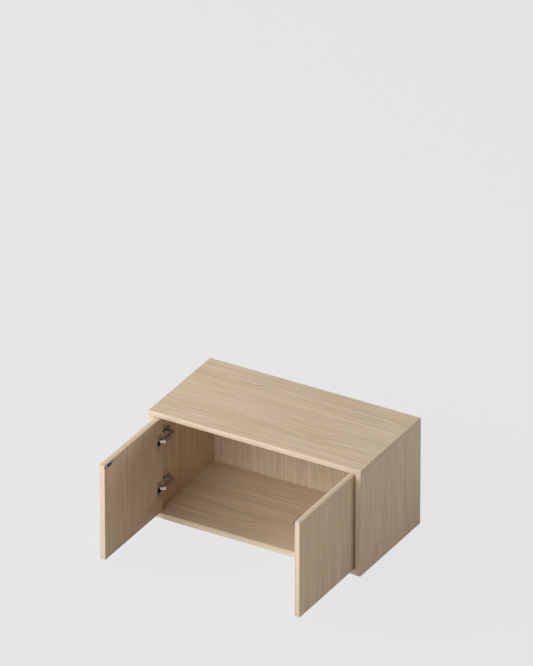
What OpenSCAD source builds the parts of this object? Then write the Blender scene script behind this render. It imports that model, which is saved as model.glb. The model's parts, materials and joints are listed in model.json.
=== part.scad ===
// Desktop cabinet with two inset doors on concealed cup hinges, all sizes in millimetres.
// The origin is the centre of the cabinet's underside. +X is right, +Y is back, +Z is up.
// Both doors are drawn standing open at a right angle, which is the rest pose.
// A side frame measures x inward from a side board's inner face, y back from the cabinet's
// front plane and z up. The right-hand pieces are the mirror image of the left-hand ones.

/* [Cabinet] */
// Overall width
cabinet_w = 800; // [600:10:1000]
// Depth of the frame, without its open doors
cabinet_d = 400; // [300:10:500]
// Overall height
cabinet_h = 400; // [300:10:500]
// Thickness of the frame's boards
board_t = 20; // [18:0.5:25]
// Thickness of the edge bands
band_t = 1; // [0.5:0.1:2]
// Joint left between edge bands that meet at a corner
band_joint = 0.1; // [0.05:0.05:0.3]

/* [Back] */
// Thickness of the back board
back_t = 8; // [6:0.5:10]
// Distance from the frame's rear edges in to the back board's rear face
back_inset = 2; // [1:0.5:6]
// How far the back board reaches into each frame board
rebate_w = 8; // [6:0.5:9]
// Gap around the back board in its rebate
back_gap = 0.3; // [0.1:0.1:1]

/* [Doors] */
// Thickness of each door
door_t = 20; // [18:0.5:22]
// Gap above the doors
door_top_gap = 2; // [1.5:0.5:4]
// Gap below the doors
door_bottom_gap = 3; // [1.5:0.5:5]
// Gap between a closed door and its side board
door_side_gap = 3.5; // [3:0.1:4]
// Gap between the two closed doors
door_centre_gap = 4; // [3:0.5:6]
// Radius of the doors' long edges
door_edge_r = 1.5; // [1:0.1:2]
// Smallest gap to the side board while a door swings
swing_gap = 0.35; // [0.3:0.05:1]

/* [Dowels] */
// Diameter of the dowels
dowel_d = 8; // [6:1:10]
// Depth of a dowel in the face of a board
dowel_in_face = 12; // [9:1:14]
// Depth of a dowel in the end of a board
dowel_in_end = 20; // [15:1:30]
// Dowels in each corner joint
dowels_per_joint = 3; // [2:1:5]
// Distance from a board's front and rear edges to its outer dowels
dowel_margin = 50; // [30:5:80]

/* [Screws] */
// Diameter of the small wood screws' shanks
screw_d = 3.5; // [3:0.1:4]
// Diameter of the small wood screws' heads
screw_head_d = 7; // [6:0.1:7.5]
// Diameter of the screws that hold the hinges' mounting plates
plate_screw_d = 5; // [4:0.1:6]
// Screws along the back board's top edge, and as many along its bottom edge
back_screws_across = 4; // [2:1:6]
// Screws along each upright edge of the back board
back_screws_up = 2; // [1:1:4]

/* [Hinges] */
// Distance from a door's top or bottom end to the middle of the nearer hinge
hinge_end = 88.5; // [70:0.5:100]
// Diameter of the hinge cups
cup_d = 35; // [34:0.5:36]
// Depth of the hinge cups in the doors
cup_depth = 12.7; // [12.3:0.1:14]
// Smallest width of wood between a cup and the door's hinge edge
cup_edge = 3; // [2.5:0.1:6]
// Thickness of the cup's wall and floor
cup_wall = 1.2; // [0.8:0.1:1.4]
// Length of the cup's flange, up and down the door
flange_l = 62; // [58:0.5:70]
// Thickness of the cup's flange
flange_t = 1.2; // [0.8:0.1:1.5]
// Distance between the two screws of a cup
cup_screw_pitch = 45; // [42:0.5:48]
// Thickness of the hinge arm's sheet metal
arm_t = 1; // [0.8:0.1:1.2]
// Width of the hinge arm, up and down
arm_w = 14.9; // [14.5:0.1:15.5]
// Diameter of the pins that the links turn on in the arm
arm_pin_d = 2.5; // [2:0.1:2.8]
// Diameter of the pins at the links' cup ends
cup_pin_d = 2.2; // [2:0.1:2.4]
// Thickness of the mounting plate's foot
foot_t = 3; // [2:0.5:4]
// Width of the mounting plate's foot, up and down
foot_w = 18; // [15:0.5:24]

/* [Latches] */
// Length of the strike plates
strike_l = 50; // [46:1:70]
// Height of the strike plates
strike_h = 12; // [10:0.5:13]
// Thickness of the strike plates
strike_t = 4; // [3:0.5:5]
// Distance between the two screws of a strike plate
strike_screw_pitch = 36; // [28:1:38]
// Travel of the latch plunger
plunger_travel = 4; // [2:0.5:6]
// Diameter of the latch plunger
plunger_d = 6.8; // [6:0.1:7.2]
// Length of the latch housing
housing_l = 43; // [40:1:60]

/* [Hidden] */
$fn = 48;

LEFT = -1;
RIGHT = 1;
wood = "#cdb895";
edge_wood = "#dcc8a6";
steel = "#a39c96";
dark_steel = "#4c4d52";
nickel = "#c5b8ae";
beech = "#d9bd8b";
plastic = "#8b8d90";

// Room that a cut takes past the face it starts from
over = 1;
// Radial play of a glued, screwed or riveted pin in its hole
fast_fit = 0.03;
// Radial play of a pin that turns in its hole
running_fit = 0.06;
// Play between flat parts that slide past each other
side_fit = 0.25;

// Frame
inner_half = cabinet_w / 2 - board_t;
inner_top = cabinet_h - board_t;
front_y = -cabinet_d / 2;
shoulder = cabinet_d - back_inset - back_t;

// Doors, closed, in a side frame
door_w = inner_half - door_side_gap - door_centre_gap / 2;
door_z0 = board_t + door_bottom_gap;
door_z1 = inner_top - door_top_gap;
door_h = door_z1 - door_z0;
rest_angle = 90;

// The axis that a door swings about. It lies in the door's thickness, where the two links of
// each hinge carry it, and is as near the side board as the door's corner and the cup allow.
pivot_below_face = 11.25;
cup_from_pivot = 12.25;
pivot_y = door_t - pivot_below_face;
swing_x = (pow(door_side_gap + door_edge_r, 2) - pow(swing_gap + door_edge_r, 2)
  + pow(pivot_y - door_edge_r, 2)) / (2 * (door_side_gap - swing_gap));
pivot_x = max(swing_x, door_side_gap + cup_edge + cup_d / 2 - cup_from_pivot);
hinge_heights = [door_z1 - hinge_end, door_z0 + hinge_end];
cup_x = pivot_x + cup_from_pivot;

// Hinge pieces, measured from the pivot in x, and back from the closed door's inner face in y
outer_eye = [22.75, -5.5];
inner_eye = [17.25, -2.5];
outer_throw = 10;
inner_throw = 5;
pivot = [0, -pivot_below_face];
function bearing(from, to) = atan2(to[1] - from[1], to[0] - from[0]);
function step(from, angle, r) = [from[0] + r * cos(angle), from[1] + r * sin(angle)];
function open_end(eye, throw) = step(pivot, bearing(pivot, eye) - rest_angle / 2, throw);
function closed_end(eye, throw) = step(pivot, bearing(pivot, eye) + rest_angle / 2, throw);
function lift(eye, throw) = norm(open_end(eye, throw) - eye) - (norm(eye - pivot) - throw);
nose_r = 3.2;
web_front = [26.25, 0];
web_rear = [21.75, 59.5];
web_t = 1.4;
web_start = -1;
cheek_rear = 19.5;
cheek_waist = [13, 40];
cheek_front = [15, 8];
cheek_heel = 2;
web_slope = atan2(web_front[0] - web_rear[0], web_rear[1] - web_front[1]);
function web_face(y) = web_front[0] - (y - web_front[1]) * tan(web_slope);
access_hole_d = 6.5;
access_hole_y = 32;
lock_screw_y = 52;
lock_screw_d = 4;
lock_screw_l = 12;
lock_head_d = 6.5;
pin_head = 0.5;
link_half = arm_w / 2 - arm_t - side_fit;
inner_link_t = 0.9;
outer_half = link_half - inner_link_t - side_fit;
outer_eye_r = 3;
outer_tip_r = 2.3;
outer_edge = -0.4;
outer_back_t = 1.6;
outer_back = [1, 5.5];
inner_eye_r = 2.3;
inner_bow = [1.4, 3.4];
inner_bow_ends = [2.5, 4.5];
ear_gap = 0.6;
ear_t = 1.4;
ear_low = -2.2;
ear_high = 4.8;
ear_top = -2.6;
ear_slot = 0.6;
ear_slot_back = 1.2;

// Cup flange, measured from the cup's centre towards the door's free edge
flange_front = 20;
flange_rear = -7.5;
flange_rim = 1;
flange_corner = 4;
slot_h = 18;
slot_front = 15.2;
rim_cut = 3;
cup_screw_x = 10;
bore_fit = 0.1;
cup_screw_l = 12;
pan_head_h = 2;
pan_head_round = 0.9;
screw_tip = 2;

// Mounting plate, measured as the hinge pieces are
foot_front = 30;
foot_rear = 77;
foot_corner = 3;
block = [48, 59.5];
block_sink = 0.5;
block_half = link_half - 0.25;
boss_front = 60.5;
boss_t = 3;
plate_screw_ys = [41, 68];
plate_head_d = 7.5;
plate_screw_l = 11;

// Latch, in a side frame with the door closed
strike_x = door_side_gap + door_w - strike_l / 2;
strike_z = door_z1 - strike_h / 2;
strike_y = door_t + strike_t;
strike_corner = 2;
strike_dimple_d = 7.4;
strike_dimple_h = 1.5;
strike_screw_l = 14;
tip_gap = 0.3;
housing_lead = 0.7;
housing_w = 14;
housing_front = strike_y + tip_gap + plunger_travel + housing_lead;
housing_rear = housing_front + housing_l;
housing_drop = 6;
housing_bottom = strike_z - housing_drop;
housing_floor = 4;
chamber_d = 10;
collar_d = 9.2;
collar_l = 3;
plunger_fit = 0.2;
tail_d = 5.2;
tail_l = 24;
cap_t = 3;
spigot_l = 2;
lug = [36, 20, 3];
lug_y = 16;
lug_screw_pitch = 26;
latch_screw_l = 15;
latch_head_d = 6;
spring_wire = 1;
spring_d = 7.5;
spring_turns = 9;

// Back screws
back_screw_l = 25;
sunk_head_h = 2.2;

// Places shared by pieces and the holes made for them
dowel_ys = [for (i = [0 : dowels_per_joint - 1])
  dowel_margin + i * (cabinet_d - 2 * dowel_margin) / (dowels_per_joint - 1)];
back_edge_x = inner_half + rebate_w / 2;
back_edge_z = [board_t - rebate_w / 2, inner_top + rebate_w / 2];
across_xs = [for (i = [0 : back_screws_across - 1])
  inner_half * ((2 * i + 1) / back_screws_across - 1)];
up_zs = [for (i = [1 : back_screws_up])
  board_t + i * (inner_top - board_t) / (back_screws_up + 1)];

// Puts a piece that is drawn in a side frame on the left or the right of the cabinet
module on_side(side) {
  if (side == LEFT)
    translate([-inner_half, front_y, 0]) children();
  else
    mirror([1, 0, 0]) translate([-inner_half, front_y, 0]) children();
}

// Swings a piece that is drawn on a closed door to the rest pose
module on_door(side) {
  on_side(side)
    translate([pivot_x, pivot_y, 0])
      rotate([0, 0, -rest_angle])
        translate([-pivot_x, -pivot_y, 0]) children();
}

// Puts a piece in the hinge's own frame
module at_hinge(z) {
  translate([pivot_x, door_t, z]) children();
}

module along_x(r, x0, x1) {
  translate([x0, 0, 0]) rotate([0, 90, 0]) cylinder(r = r, h = x1 - x0);
}

module along_y(r, y0, y1) {
  translate([0, y0, 0]) rotate([-90, 0, 0]) cylinder(r = r, h = y1 - y0);
}

module rounded_square(size, r) {
  translate([r, 0]) square([size[0] - 2 * r, size[1]]);
  translate([0, r]) square([size[0], size[1] - 2 * r]);
  for (x = [r, size[0] - r], y = [r, size[1] - r])
    translate([x, y]) circle(r);
}

// Upright slab from z0 to z1 with a flat outline
module slab(z0, z1) {
  translate([0, 0, z0]) linear_extrude(z1 - z0) children();
}

// The same slab above and below the middle
module slab_pair(z0, z1) {
  slab(z0, z1) children();
  slab(-z1, -z0) children();
}

module cross_recess(size) {
  for (a = [0, 90])
    rotate([0, 0, a]) cube([size, size / 5, size / 2], center = true);
}

// Screws point down -Z, and their heads rest on z = 0 or are sunk below it
module pan_screw(shank_d, head_d, length) {
  difference() {
    rotate_extrude()
      polygon([[0, pan_head_h], [head_d / 2 - pan_head_round, pan_head_h],
        [head_d / 2, pan_head_h - pan_head_round], [head_d / 2, 0], [shank_d / 2, 0],
        [shank_d / 2, screw_tip - length], [0, -length]]);
    translate([0, 0, pan_head_h]) cross_recess(head_d / 2);
  }
}

module sunk_screw(shank_d, head_d, length) {
  difference() {
    rotate_extrude()
      polygon([[0, 0], [head_d / 2, 0], [shank_d / 2, -sunk_head_h],
        [shank_d / 2, screw_tip - length], [0, -length]]);
    cross_recess(head_d / 2);
  }
}

module pilot(shank_d, length) {
  translate([0, 0, -length]) cylinder(d = shank_d + 2 * fast_fit, h = length + over);
}

module countersink(shank_d, head_d) {
  rotate_extrude()
    polygon([[0, over], [head_d / 2 + fast_fit, over], [head_d / 2 + fast_fit, 0],
      [shank_d / 2 + fast_fit, -sunk_head_h - fast_fit], [0, -sunk_head_h - fast_fit]]);
}

// Frame boards

// Every dowel, or with play its hole, in the side frame of one side
module side_dowels(play) {
  for (y = dowel_ys) {
    translate([-board_t / 2, y, inner_top - dowel_in_end])
      cylinder(d = dowel_d + 2 * play, h = dowel_in_end + dowel_in_face);
    translate([0, y, board_t / 2])
      along_x(dowel_d / 2 + play, -dowel_in_face, dowel_in_end);
  }
}

module all_dowels(play) {
  for (side = [LEFT, RIGHT]) on_side(side) side_dowels(play);
}

// The places of the back board's screws, with their heads to the rear
module at_back_screws() {
  y = front_y + shoulder + back_t;
  for (x = across_xs, z = back_edge_z)
    translate([x, y, z]) rotate([-90, 0, 0]) children();
  for (x = [-back_edge_x, back_edge_x], z = up_zs)
    translate([x, y, z]) rotate([-90, 0, 0]) children();
}

module back_outline(gap) {
  w = inner_half + rebate_w - gap;
  translate([-w, front_y + shoulder, board_t - rebate_w + gap])
    cube([2 * w, back_t + back_inset + over, inner_top - board_t + 2 * (rebate_w - gap)]);
}

module frame_cuts() {
  all_dowels(fast_fit);
  back_outline(0);
  at_back_screws() pilot(screw_d, back_screw_l);
}

module top_panel() {
  color(wood) difference() {
    translate([band_t - cabinet_w / 2, front_y + band_t, inner_top])
      cube([cabinet_w - 2 * band_t, cabinet_d - band_t, board_t]);
    frame_cuts();
    for (side = [LEFT, RIGHT])
      on_side(side) at_latch_screws() pilot(screw_d, latch_screw_l);
  }
}

module bottom_panel() {
  color(wood) difference() {
    translate([-inner_half, front_y + band_t, 0])
      cube([2 * inner_half, cabinet_d - band_t, board_t]);
    frame_cuts();
  }
}

module side_panel(side) {
  color(wood) difference() {
    on_side(side)
      translate([-board_t, band_t, 0]) cube([board_t, cabinet_d - band_t, inner_top]);
    frame_cuts();
    on_side(side)
      for (z = hinge_heights) at_hinge(z) at_plate_screws() pilot(plate_screw_d, plate_screw_l);
  }
}

module back_panel() {
  color(wood) difference() {
    intersection() {
      back_outline(back_gap);
      translate([-cabinet_w, front_y + shoulder, 0]) cube([2 * cabinet_w, back_t, cabinet_h]);
    }
    at_back_screws() pilot(screw_d, back_t + over);
    at_back_screws() countersink(screw_d, screw_head_d);
  }
}

module top_edge_band() {
  color(edge_wood) {
    translate([-cabinet_w / 2, front_y, inner_top]) cube([cabinet_w, band_t, board_t]);
    for (x = [-cabinet_w / 2, cabinet_w / 2 - band_t])
      translate([x, front_y + band_t + band_joint, inner_top])
        cube([band_t, cabinet_d - band_t - band_joint, board_t]);
  }
}

module bottom_edge_band() {
  color(edge_wood)
    translate([-inner_half, front_y, 0]) cube([2 * inner_half, band_t, board_t]);
}

module side_edge_band(side) {
  color(edge_wood) on_side(side) translate([-board_t, 0, 0]) cube([board_t, band_t, inner_top]);
}

module dowels() {
  color(beech) all_dowels(0);
}

module back_screws() {
  color(steel) at_back_screws() sunk_screw(screw_d, screw_head_d, back_screw_l);
}

// Doors

module door_outline() {
  translate([door_side_gap, 0]) rounded_square([door_w, door_t], door_edge_r);
}

module door_part(x0, x1, z0, z1) {
  slab(door_z0 + z0, door_z0 + z1) intersection() {
    door_outline();
    translate([door_side_gap + x0, -over]) square([x1 - x0, door_t + 2 * over]);
  }
}

module door_panel(side) {
  color(wood) on_door(side) difference() {
    door_part(band_t, door_w - band_t, band_t, door_h - band_t);
    for (z = hinge_heights) {
      translate([cup_x, 0, z])
        along_y(cup_d / 2 + bore_fit, door_t - cup_depth, door_t + over);
      at_cup_screws(z) pilot(screw_d, cup_screw_l);
    }
    at_strike_screws() pilot(screw_d, strike_screw_l);
  }
}

module door_edge_band(side) {
  inset = band_t + band_joint;
  color(edge_wood) on_door(side) {
    door_part(0, band_t, 0, door_h);
    door_part(door_w - band_t, door_w, 0, door_h);
    door_part(inset, door_w - inset, 0, band_t);
    difference() {
      door_part(inset, door_w - inset, door_h - band_t, door_h);
      at_strike_screws() pilot(screw_d, strike_screw_l);
    }
  }
}

// Hinge cups. The flange's slot lets the arm's nose into the cup as the door closes. The rim
// is cut away on the hinge side, where the links come out, and the slotted ears take the ends
// of the inner link's pin.

module at_cup_screws(z) {
  for (s = [-1, 1])
    translate([cup_x + cup_screw_x, door_t, z + s * cup_screw_pitch / 2])
      rotate([-90, 0, 0]) children();
}

module flange_outline() {
  translate([flange_rear, -flange_l / 2])
    rounded_square([flange_front - flange_rear, flange_l], flange_corner);
  circle(cup_d / 2 + flange_rim);
}

module flange_slot() {
  intersection() {
    circle(cup_d / 2 - cup_wall);
    translate([0, -slot_h / 2]) square([slot_front, slot_h]);
  }
  translate([-cup_d, -slot_h / 2]) square([cup_d + over, slot_h]);
}

// Slot in an ear that a link's pin runs in, from its end place towards the cup's floor
module pin_slot(eye, throw) {
  end = closed_end(eye, throw);
  w = cup_pin_d + 2 * ear_slot;
  reach = lift(eye, throw);
  translate(end) rotate([0, 0, bearing(eye, pivot) + rest_angle / 2]) {
    translate([-ear_slot_back, -w / 2]) square([reach + ear_slot_back, w]);
    translate([reach, 0]) circle(d = w);
    translate([-ear_slot_back, 0]) circle(d = w);
  }
}

module cup_ear_outline() {
  difference() {
    translate([ear_low, -cup_depth + cup_wall / 2])
      square([ear_high - ear_low, cup_depth - cup_wall / 2 + ear_top]);
    pin_slot(inner_eye, inner_throw);
  }
}

module hinge_cup(side, z) {
  color(steel) on_door(side) {
    translate([cup_x, door_t, z]) {
      difference() {
        along_y(cup_d / 2, -cup_depth, 0);
        along_y(cup_d / 2 - cup_wall, cup_wall - cup_depth, over);
        translate([-cup_d, -rim_cut, -slot_h / 2]) cube([cup_d, rim_cut + over, slot_h]);
      }
      difference() {
        rotate([-90, 0, 0]) linear_extrude(flange_t) mirror([0, 1]) flange_outline();
        translate([0, -over, 0]) rotate([-90, 0, 0])
          linear_extrude(flange_t + 2 * over) flange_slot();
        for (s = [-1, 1])
          translate([cup_screw_x, -over, s * cup_screw_pitch / 2])
            along_y(screw_d / 2 + fast_fit, 0, flange_t + 2 * over);
      }
    }
    at_hinge(z) slab_pair(link_half + ear_gap, link_half + ear_gap + ear_t) cup_ear_outline();
  }
}

module cup_screws(side) {
  color(nickel) on_door(side)
    for (z = hinge_heights)
      at_cup_screws(z) translate([0, 0, flange_t])
        pan_screw(screw_d, screw_head_d, cup_screw_l);
}

// Hinge arms: a channel with its web towards the cabinet's middle and a cheek above and below

module cheek_outline() {
  tilt = bearing(inner_eye, outer_eye) - 90;
  translate(outer_eye) circle(nose_r);
  translate(inner_eye) circle(nose_r);
  polygon([
    step(outer_eye, tilt, nose_r),
    [outer_eye[0] + nose_r, outer_eye[1]],
    web_front,
    web_rear,
    [web_rear[0] - cheek_rear, web_rear[1]],
    [web_rear[0] - cheek_rear, block[0] + cheek_heel],
    [web_face(cheek_waist[1]) - cheek_waist[0], cheek_waist[1]],
    [web_face(cheek_front[1]) - cheek_front[0], cheek_front[1]],
    [inner_eye[0] - nose_r, inner_eye[1] + cheek_heel],
    [inner_eye[0] - nose_r, inner_eye[1]],
    step(inner_eye, tilt, nose_r)]);
}

module web_outline() {
  polygon([[web_face(web_start), web_start], web_rear, [web_rear[0] - web_t, web_rear[1]],
    [web_face(web_start) - web_t, web_start]]);
}

// A place on the web's outer face, with +Z standing out of it
module on_web(y) {
  translate([web_face(y), y, 0]) rotate([0, 0, web_slope]) rotate([0, 90, 0]) children();
}

module hinge_arm(side, z) {
  color(steel) on_side(side) at_hinge(z) difference() {
    union() {
      slab_pair(arm_w / 2 - arm_t, arm_w / 2) cheek_outline();
      slab(-arm_w / 2, arm_w / 2) web_outline();
    }
    on_web(access_hole_y) translate([0, 0, -web_t - over])
      cylinder(d = access_hole_d, h = web_t + 2 * over);
    on_web(lock_screw_y) translate([0, 0, -web_t - over])
      cylinder(d = lock_screw_d + 2 * fast_fit, h = web_t + 2 * over);
    for (eye = [outer_eye, inner_eye])
      translate([eye[0], eye[1], -arm_w])
        cylinder(d = arm_pin_d + 2 * fast_fit, h = 2 * arm_w);
  }
}

module arm_pins(side) {
  color(nickel) on_side(side)
    for (z = hinge_heights, eye = [outer_eye, inner_eye])
      at_hinge(z) translate([eye[0], eye[1], 0]) {
        cylinder(d = arm_pin_d, h = arm_w, center = true);
        for (s = [-1, 1])
          translate([0, 0, s * (arm_w + pin_head) / 2])
            cylinder(d = arm_pin_d + 2 * pin_head, h = pin_head, center = true);
      }
}

module arm_screws(side) {
  color(nickel) on_side(side)
    for (z = hinge_heights)
      at_hinge(z) on_web(lock_screw_y) pan_screw(lock_screw_d, lock_head_d, lock_screw_l);
}

// Links. Each is drawn with its arm end at the origin and its cup end along +X. The outer link
// is one bar, wider on its +Y side next to the arm. The inner link is a pair of cheeks beside it,
// bowed towards +Y so that they clear the edge of the door's wood.

module link_holes(length) {
  translate([0, 0, -arm_w])
    cylinder(d = arm_pin_d + 2 * running_fit, h = 2 * arm_w);
  translate([length, 0, -arm_w])
    cylinder(d = cup_pin_d + 2 * fast_fit, h = 2 * arm_w);
}

module outer_link_shape(length) {
  difference() {
    union() {
      slab(-outer_half, outer_half) {
        circle(outer_eye_r);
        translate([length, 0]) circle(outer_tip_r);
        polygon([[0, outer_edge], [length, outer_edge], [length, outer_tip_r],
          [length / 2, outer_eye_r], [0, outer_eye_r]]);
      }
      slab(-link_half, link_half)
        translate([outer_back[0], outer_eye_r - outer_back_t])
          square([outer_back[1] - outer_back[0], outer_back_t]);
    }
    link_holes(length);
  }
}

module inner_link_shape(length) {
  difference() {
    slab_pair(outer_half + side_fit, link_half) {
      circle(inner_eye_r);
      translate([length, 0]) circle(inner_eye_r);
      polygon([[0, -inner_eye_r / 2], [inner_bow_ends[0], inner_bow[0]],
        [length - inner_bow_ends[1], inner_bow[0]], [length, -inner_eye_r / 2],
        [length, inner_eye_r], [length - inner_bow_ends[1], inner_bow[1]],
        [inner_bow_ends[0], inner_bow[1]], [0, inner_eye_r]]);
    }
    link_holes(length);
  }
}

// Lays a link between its eye in the arm and the place of its cup end with the door open
module at_link(z, eye, throw) {
  at_hinge(z) translate([eye[0], eye[1], 0])
    rotate([0, 0, bearing(eye, open_end(eye, throw))]) children();
}

module outer_link(side, z) {
  color(nickel) on_side(side) at_link(z, outer_eye, outer_throw)
    outer_link_shape(norm(open_end(outer_eye, outer_throw) - outer_eye));
}

module inner_links(side) {
  color(nickel) on_side(side)
    for (z = hinge_heights)
      at_link(z, inner_eye, inner_throw)
        inner_link_shape(norm(open_end(inner_eye, inner_throw) - inner_eye));
}

module outer_link_pins(side) {
  length = norm(open_end(outer_eye, outer_throw) - outer_eye);
  color(steel) on_side(side)
    for (z = hinge_heights)
      at_link(z, outer_eye, outer_throw)
        translate([length, 0, 0]) cylinder(d = cup_pin_d, h = 2 * outer_half, center = true);
}

module inner_link_pins(side) {
  length = norm(open_end(inner_eye, inner_throw) - inner_eye);
  color(steel) on_side(side)
    for (z = hinge_heights)
      at_link(z, inner_eye, inner_throw)
        slab_pair(outer_half + side_fit, link_half + ear_gap + ear_t - side_fit)
          translate([length, 0]) circle(d = cup_pin_d);
}

// Mounting plates

module at_plate_screws() {
  for (y = plate_screw_ys)
    translate([-pivot_x, y, 0]) rotate([0, 90, 0]) children();
}

module block_outline() {
  polygon([[foot_t - pivot_x - block_sink, block[0]], [web_face(block[0]) - web_t, block[0]],
    [web_face(block[1]) - web_t, block[1]], [foot_t - pivot_x - block_sink, block[1]]]);
}

module mounting_plate(side, z) {
  color(steel) on_side(side) at_hinge(z) difference() {
    union() {
      translate([-pivot_x, 0, 0]) rotate([90, 0, 90]) {
        linear_extrude(foot_t)
          translate([foot_front, -foot_w / 2])
            rounded_square([foot_rear - foot_front, foot_w], foot_corner);
        linear_extrude(foot_t + boss_t)
          translate([boss_front, -foot_w / 2])
            rounded_square([foot_rear - boss_front, foot_w], foot_corner);
      }
      slab(-block_half, block_half) block_outline();
    }
    on_web(lock_screw_y) pilot(lock_screw_d, lock_screw_l);
    at_plate_screws() cylinder(d = plate_screw_d + 2 * fast_fit, h = foot_t + over);
    translate([-pivot_x, plate_screw_ys[1], 0])
      along_x(plate_head_d / 2 + side_fit, foot_t, foot_t + boss_t + over);
  }
}

module plate_screws(side) {
  color(nickel) on_side(side)
    for (z = hinge_heights)
      at_hinge(z) at_plate_screws()
        translate([0, 0, foot_t]) pan_screw(plate_screw_d, plate_head_d, foot_t + plate_screw_l);
}

// Strike plates, on the closed doors' inner faces at the top free corners

module at_strike_screws() {
  for (s = [-1, 1])
    translate([strike_x + s * strike_screw_pitch / 2, door_t, strike_z])
      rotate([-90, 0, 0]) children();
}

module strike_plate(side) {
  color(dark_steel) on_door(side) difference() {
    translate([strike_x, door_t, strike_z]) rotate([-90, 0, 0]) linear_extrude(strike_t)
      translate([-strike_l / 2, -strike_h / 2])
        rounded_square([strike_l, strike_h], strike_corner);
    translate([strike_x, 0, strike_z])
      along_y(strike_dimple_d / 2, strike_y - strike_dimple_h, strike_y + over);
    at_strike_screws() translate([0, 0, -over])
      cylinder(d = screw_d + 2 * fast_fit, h = strike_t + 2 * over);
  }
}

module strike_screws(side) {
  color(nickel) on_door(side)
    at_strike_screws() translate([0, 0, strike_t])
      pan_screw(screw_d, screw_head_d, strike_screw_l);
}

// Push latches, under the top board behind the closed strike plates

module at_latch() {
  translate([strike_x, 0, strike_z]) children();
}

module at_latch_screws() {
  for (s = [-1, 1])
    translate([strike_x + s * lug_screw_pitch / 2, housing_front + lug_y + lug[1] / 2, inner_top])
      rotate([180, 0, 0]) children();
}

module latch_housing(side) {
  color(plastic) on_side(side) difference() {
    union() {
      translate([strike_x - housing_w / 2, housing_front, housing_bottom])
        cube([housing_w, housing_l, inner_top - housing_bottom]);
      translate([strike_x - lug[0] / 2, housing_front + lug_y, inner_top - lug[2]])
        cube(lug);
    }
    at_latch() along_y(plunger_d / 2 + plunger_fit, housing_front - over, housing_rear);
    at_latch() along_y(chamber_d / 2, housing_front + housing_floor, housing_rear + over);
    at_latch_screws() cylinder(d = screw_d + 2 * fast_fit, h = lug[2] + over);
  }
}

module latch_end_cap(side) {
  color(plastic) on_side(side) {
    translate([strike_x - housing_w / 2, housing_rear, housing_bottom])
      cube([housing_w, cap_t, inner_top - housing_bottom]);
    at_latch() along_y(chamber_d / 2 - plunger_fit, housing_rear - spigot_l, housing_rear + over);
  }
}

// The plunger stands just clear of the closed strike plate, held by its collar
module latch_plunger(side) {
  tip = strike_y + tip_gap;
  collar = housing_front + housing_floor + tip_gap;
  color(dark_steel) on_side(side) at_latch() {
    along_y(plunger_d / 2, tip, collar + over);
    along_y(collar_d / 2, collar, collar + collar_l);
    along_y(tail_d / 2, collar, collar + collar_l + tail_l);
  }
}

// Coil of round wire from the plunger's collar to the end cap
module latch_spring(side) {
  steps = 12;
  sides = 6;
  rings = spring_turns * steps;
  start = housing_front + housing_floor + tip_gap + collar_l + spring_wire / 2 + tip_gap / 2;
  end = housing_rear - spigot_l - spring_wire / 2;
  points = [for (i = [0 : rings], j = [0 : sides - 1])
    let (turn = 360 * i / steps, around = 360 * j / sides,
      r = spring_d / 2 + spring_wire / 2 * cos(around))
      [r * cos(turn), start + (end - start) * i / rings + spring_wire / 2 * sin(around),
        r * sin(turn)]];
  faces = concat(
    [for (i = [0 : rings - 1], j = [0 : sides - 1])
      [i * sides + j, i * sides + (j + 1) % sides, (i + 1) * sides + (j + 1) % sides,
        (i + 1) * sides + j]],
    [[for (j = [sides - 1 : -1 : 0]) j], [for (j = [0 : sides - 1]) rings * sides + j]]);
  color(steel) on_side(side) at_latch() polyhedron(points, faces);
}

module latch_screws(side) {
  color(nickel) on_side(side)
    at_latch_screws() translate([0, 0, lug[2]]) pan_screw(screw_d, latch_head_d, latch_screw_l);
}

top_panel();
bottom_panel();
side_panel(LEFT);  // left_side_panel
side_panel(RIGHT);  // right_side_panel
back_panel();
top_edge_band();
bottom_edge_band();
side_edge_band(LEFT);  // left_side_edge_band
side_edge_band(RIGHT);  // right_side_edge_band
dowels();
back_screws();
door_panel(LEFT);  // left_door_panel
door_panel(RIGHT);  // right_door_panel
door_edge_band(LEFT);  // left_door_edge_band
door_edge_band(RIGHT);  // right_door_edge_band
hinge_cup(LEFT, hinge_heights[0]);  // left_upper_hinge_cup
hinge_cup(LEFT, hinge_heights[1]);  // left_lower_hinge_cup
cup_screws(LEFT);  // left_cup_screws
hinge_cup(RIGHT, hinge_heights[0]);  // right_upper_hinge_cup
hinge_cup(RIGHT, hinge_heights[1]);  // right_lower_hinge_cup
cup_screws(RIGHT);  // right_cup_screws
hinge_arm(LEFT, hinge_heights[0]);  // left_upper_hinge_arm
hinge_arm(LEFT, hinge_heights[1]);  // left_lower_hinge_arm
arm_screws(LEFT);  // left_arm_screws
arm_pins(LEFT);  // left_arm_pins
hinge_arm(RIGHT, hinge_heights[0]);  // right_upper_hinge_arm
hinge_arm(RIGHT, hinge_heights[1]);  // right_lower_hinge_arm
arm_screws(RIGHT);  // right_arm_screws
arm_pins(RIGHT);  // right_arm_pins
mounting_plate(LEFT, hinge_heights[0]);  // left_upper_mounting_plate
mounting_plate(LEFT, hinge_heights[1]);  // left_lower_mounting_plate
plate_screws(LEFT);  // left_plate_screws
mounting_plate(RIGHT, hinge_heights[0]);  // right_upper_mounting_plate
mounting_plate(RIGHT, hinge_heights[1]);  // right_lower_mounting_plate
plate_screws(RIGHT);  // right_plate_screws
outer_link(LEFT, hinge_heights[0]);  // left_upper_outer_link
outer_link(LEFT, hinge_heights[1]);  // left_lower_outer_link
outer_link_pins(LEFT);  // left_outer_link_pins
outer_link(RIGHT, hinge_heights[0]);  // right_upper_outer_link
outer_link(RIGHT, hinge_heights[1]);  // right_lower_outer_link
outer_link_pins(RIGHT);  // right_outer_link_pins
inner_links(LEFT);  // left_inner_links
inner_link_pins(LEFT);  // left_inner_link_pins
inner_links(RIGHT);  // right_inner_links
inner_link_pins(RIGHT);  // right_inner_link_pins
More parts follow.
